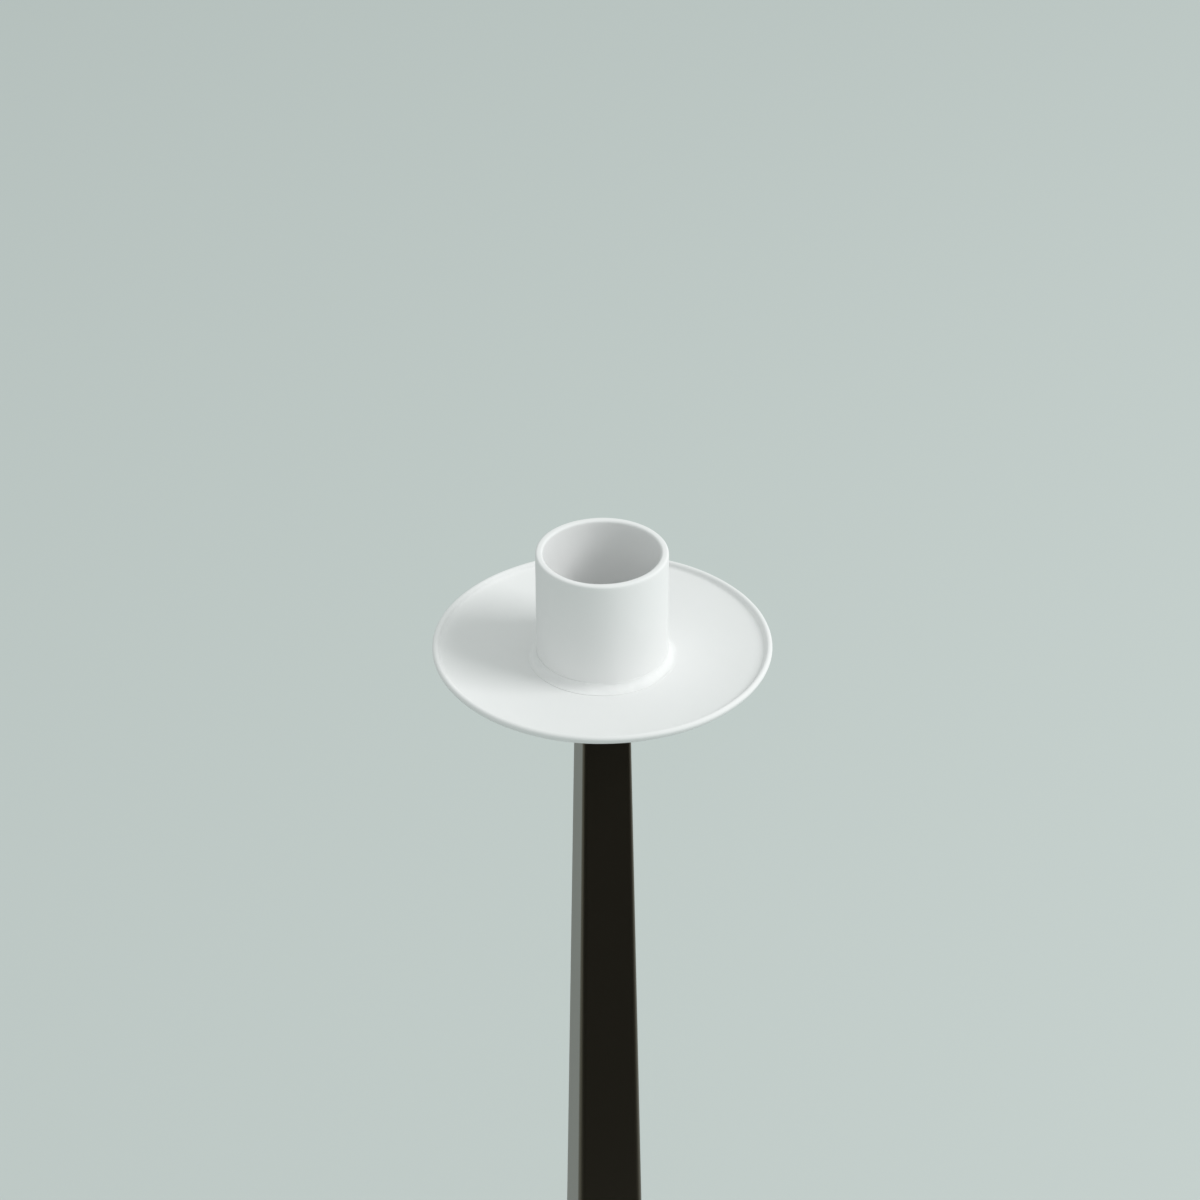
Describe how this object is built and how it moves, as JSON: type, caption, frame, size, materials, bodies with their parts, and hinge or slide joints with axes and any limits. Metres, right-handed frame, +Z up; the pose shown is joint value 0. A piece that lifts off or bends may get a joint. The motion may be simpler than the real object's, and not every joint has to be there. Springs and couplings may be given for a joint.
{
  "type": "candle holder",
  "caption": "Slender candle holder: open round candle cup on a shallow lipped drip pan, tapered square stem and low round base, in dark patinated brass.",
  "frame": {"origin": "centre of the underside of the felt pad, on the surface that the holder stands on", "axes": "+Z up along the stem to the candle cup; +X and +Y square to the flats of the stem"},
  "size_m": [0.104, 0.104, 0.2795],
  "materials": {
    "patinated_brass": "dark brown chemical patina on brass, waxed, semi-gloss",
    "patinated_solder": "darkened hard solder, slightly lumpy",
    "screw_brass": "dull turned brass",
    "screw_steel": "plain zinc-plated steel",
    "felt": "dark wool felt"
  },
  "bodies": {
    "root": {"candle_cup": "patinated_brass", "solder_bead": "patinated_solder", "drip_pan": "patinated_brass", "cup_screw": "screw_brass", "stem": "patinated_brass", "base": "patinated_brass", "base_washer": "screw_steel", "base_screw": "screw_steel", "felt_pad": "felt"}
  },
  "joints": []
}
